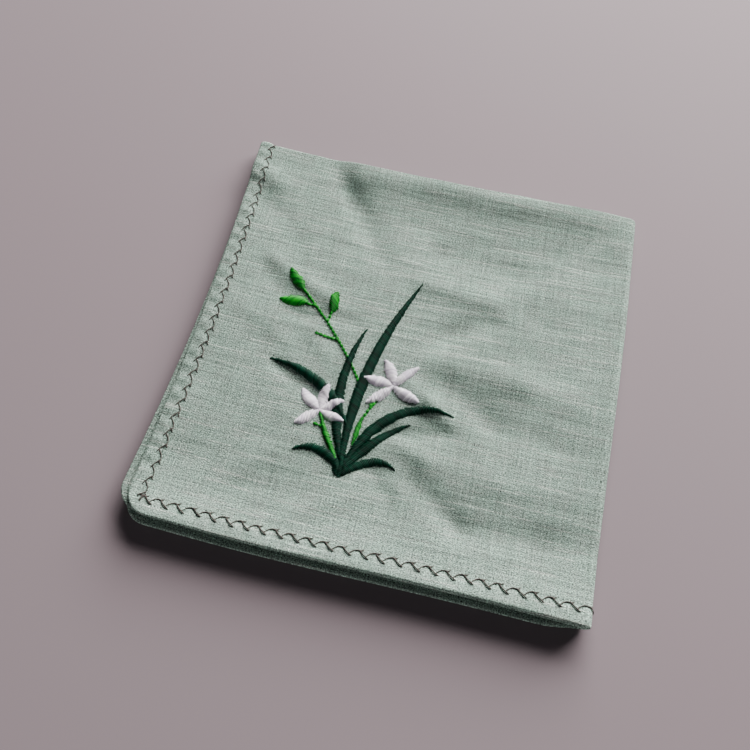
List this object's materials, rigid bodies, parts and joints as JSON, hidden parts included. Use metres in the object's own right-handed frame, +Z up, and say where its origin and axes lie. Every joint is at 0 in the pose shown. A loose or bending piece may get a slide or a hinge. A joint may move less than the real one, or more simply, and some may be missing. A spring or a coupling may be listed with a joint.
{
  "type": "linen handkerchief",
  "caption": "Linen handkerchief folded twice into a soft flat square, with rounded hemmed corners, feather stitching round the hem and an embroidered flowering plant.",
  "frame": {"origin": "centre of the underside of the folded handkerchief", "axes": "+Z up through the layers; +X along the hemmed front edge, from the open left edge to the fold on the right; +Y from the hemmed front edge to the fold at the back"},
  "size_m": [0.1473, 0.1478, 0.0061],
  "materials": {
    "linen": "matte, plain woven with slubs",
    "hem_thread": "matte, twisted",
    "leaf_thread": "satin, rayon embroidery thread",
    "stem_thread": "satin, rayon embroidery thread",
    "petal_thread": "satin, rayon embroidery thread"
  },
  "bodies": {
    "root": {"folded_cloth": "linen"}
  },
  "joints": []
}
